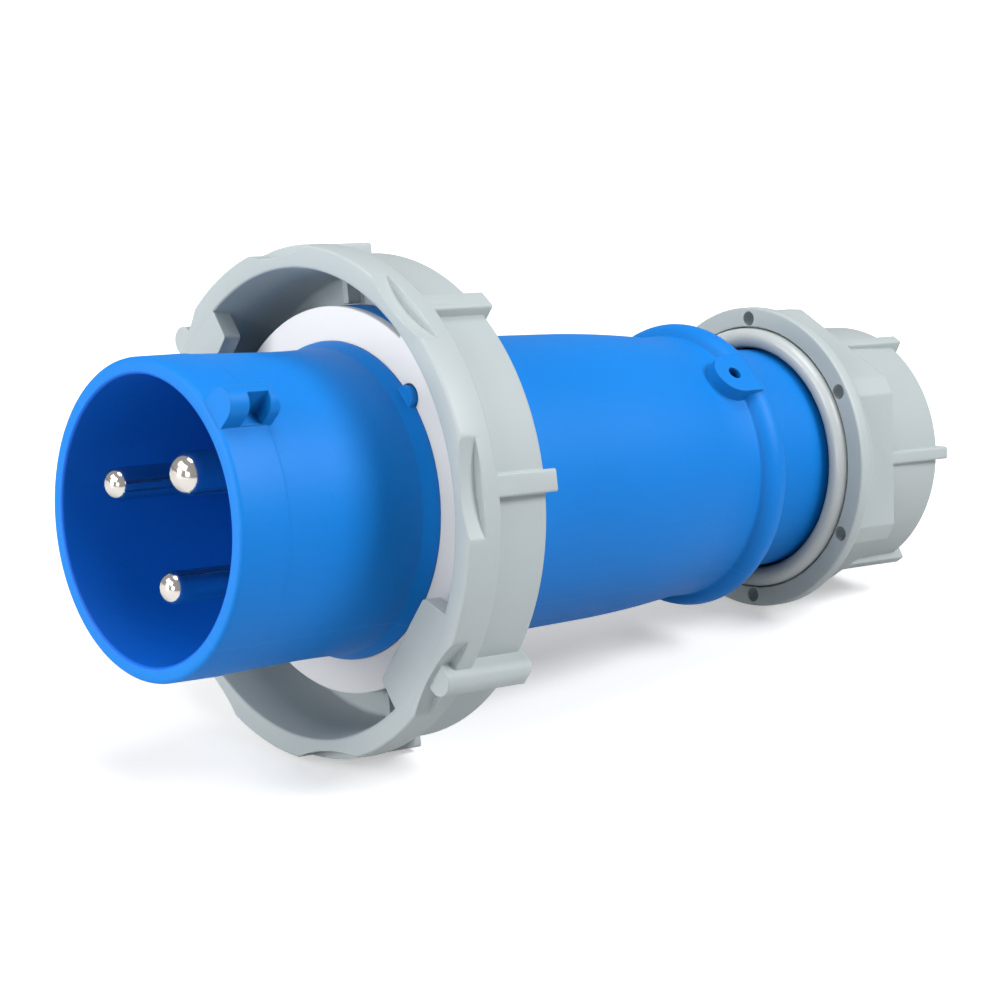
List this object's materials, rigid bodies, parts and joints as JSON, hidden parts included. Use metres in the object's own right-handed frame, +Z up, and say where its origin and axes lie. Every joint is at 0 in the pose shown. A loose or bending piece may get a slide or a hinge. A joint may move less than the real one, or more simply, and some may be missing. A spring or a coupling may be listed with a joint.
{
  "type": "industrial pin and sleeve plug",
  "caption": "Round industrial power plug: blue shroud with contact pins and key, grey bayonet ring, tapered handle and screwed cable gland.",
  "frame": {"origin": "centre of the shroud's mouth, on the plug's axis", "axes": "+X horizontally out of the mouth, +Z up; the plug lies on its ring and gland nut, so its axis rises by 8.07 degrees towards +X"},
  "size_m": [0.1873, 0.0942, 0.0946],
  "materials": {
    "blue_polyamide": "fine spark-eroded matte",
    "light_grey_polyamide": "fine matte",
    "grey_polyamide": "matte",
    "pale_grey_acetal": "satin",
    "white_rubber": "matte",
    "black_rubber": "matte",
    "nickel_brass": "bright nickel plate on brass",
    "zinc_steel": "zinc plated"
  },
  "bodies": {
    "plug_body": {"contact_shroud": "blue_polyamide", "face_gasket": "white_rubber", "rear_housing": "blue_polyamide", "live_pin": "nickel_brass", "neutral_pin": "nickel_brass", "earth_pin": "nickel_brass", "pin_retainer": "grey_polyamide", "retainer_screws": "zinc_steel", "insert_screws": "zinc_steel", "insert_screw_seals": "black_rubber", "power_terminal_screws": "zinc_steel", "earth_terminal_screw": "zinc_steel", "power_wire_clamps": "nickel_brass", "earth_wire_clamp": "nickel_brass", "spigot_seal": "black_rubber", "clamp_cage": "grey_polyamide", "gland_seal": "black_rubber"},
    "coupling_ring": {"bayonet_ring": "light_grey_polyamide"},
    "slip_ring": {"gland_slip_ring": "pale_grey_acetal"},
    "nut": {"gland_nut": "light_grey_polyamide", "friction_washer": "pale_grey_acetal"}
  },
  "joints": [
    {"name": "ring_turn", "type": "hinge", "parent": "plug_body", "child": "coupling_ring", "pos_m": [-0.04951, 0, -0.00702], "axis": [0.9901, 0, 0.1403], "range_deg": [0, 60]},
    {"name": "nut_advance", "type": "slide", "parent": "plug_body", "child": "slip_ring", "axis": [0.9901, 0, 0.1403], "range_m": [0, 0.006]},
    {"name": "nut_turn", "type": "hinge", "parent": "slip_ring", "child": "nut", "pos_m": [-0.16337, 0, -0.02315], "axis": [0.9901, 0, 0.1403], "range_deg": [0, 720]}
  ],
  "couplings": [
    {"joint": "nut_advance", "follows": "nut_turn", "m_per_rad": 0.00047746}
  ]
}
